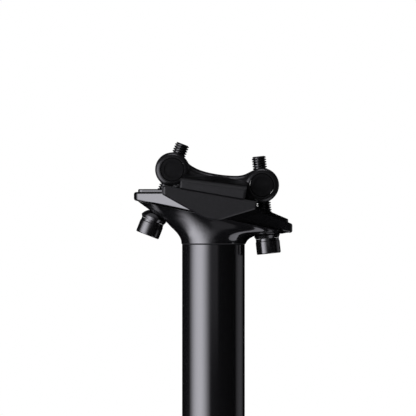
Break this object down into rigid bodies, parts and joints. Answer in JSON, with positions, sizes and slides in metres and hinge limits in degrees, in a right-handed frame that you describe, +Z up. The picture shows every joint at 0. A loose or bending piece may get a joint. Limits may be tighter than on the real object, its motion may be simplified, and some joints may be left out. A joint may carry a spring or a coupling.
{
  "type": "bicycle seatpost",
  "caption": "Straight bicycle seatpost with a forged two-bolt head, a rocking rail cradle, a bone-shaped upper clamp on barrel nuts, and a rear bolt that swings out",
  "frame": {"origin": "centre of the tube's lower end, where the post goes into the bicycle's seat tube", "axes": "+Z up along the post to the head; +X to the front of the bicycle; +Y to its left"},
  "size_m": [0.0656, 0.053, 0.3218],
  "materials": {
    "tube_black": "polished black anodised aluminium tube",
    "head_black": "polished black anodised forged aluminium",
    "cradle_matte_black": "bead-blasted black anodised aluminium",
    "clamp_black": "satin black anodised forged aluminium",
    "nut_black": "smooth black oxide steel",
    "bolt_black": "glossy black oxide steel",
    "washer_black": "glossy black oxide steel"
  },
  "bodies": {
    "post": {"post_tube": "tube_black", "post_head": "head_black"},
    "saddle_clamp": {"lower_cradle": "cradle_matte_black", "upper_clamp": "clamp_black"},
    "front_nut": {"front_barrel_nut": "nut_black"},
    "front_ball_washer": {"front_washer": "washer_black"},
    "front_clamp_bolt": {"front_bolt": "bolt_black"},
    "rear_nut": {"rear_barrel_nut": "nut_black"},
    "rear_ball_washer": {"rear_washer": "washer_black"},
    "rear_clamp_bolt": {"rear_bolt": "bolt_black"}
  },
  "joints": [
    {"name": "saddle_tilt", "type": "hinge", "parent": "post", "child": "saddle_clamp", "pos_m": [0.0008, 0, 0.3021], "axis": [0, 1, 0], "range_deg": [-3, 3.5]},
    {"name": "front_bolt_swing", "type": "hinge", "parent": "saddle_clamp", "child": "front_nut", "pos_m": [0.02003, 0, 0.30373], "axis": [0, 1, 0], "range_deg": [-3.65, 3.13]},
    {"name": "front_bolt_travel", "type": "slide", "parent": "front_nut", "child": "front_ball_washer", "axis": [0.1045, 0, -0.9945], "range_m": [-0.0012, 0.00103]},
    {"name": "front_bolt_turn", "type": "hinge", "parent": "front_ball_washer", "child": "front_clamp_bolt", "pos_m": [0.02003, 0, 0.30373], "axis": [0.1045, 0, -0.9945], "range_deg": [-432.58, 370.78]},
    {"name": "rear_bolt_swing", "type": "hinge", "parent": "saddle_clamp", "child": "rear_nut", "pos_m": [-0.01691, 0, 0.31014], "axis": [0, 1, 0], "range_deg": [0, 95]},
    {"name": "rear_bolt_travel", "type": "slide", "parent": "rear_nut", "child": "rear_ball_washer", "axis": [-0.3633, 0, -0.9317], "range_m": [-0.00104, 0.00121]},
    {"name": "rear_bolt_turn", "type": "hinge", "parent": "rear_ball_washer", "child": "rear_clamp_bolt", "pos_m": [-0.01691, 0, 0.31014], "axis": [-0.3633, 0, -0.9317], "range_deg": [-373.4, 435.63]}
  ],
  "couplings": [
    {"joint": "front_bolt_swing", "follows": "saddle_tilt", "ratio": -1.0215},
    {"joint": "front_bolt_travel", "follows": "saddle_tilt", "m_per_rad": -0.019285},
    {"joint": "front_bolt_turn", "follows": "saddle_tilt", "ratio": -121.17},
    {"joint": "rear_bolt_travel", "follows": "saddle_tilt", "m_per_rad": 0.019421},
    {"joint": "rear_bolt_turn", "follows": "saddle_tilt", "ratio": 122.03}
  ]
}
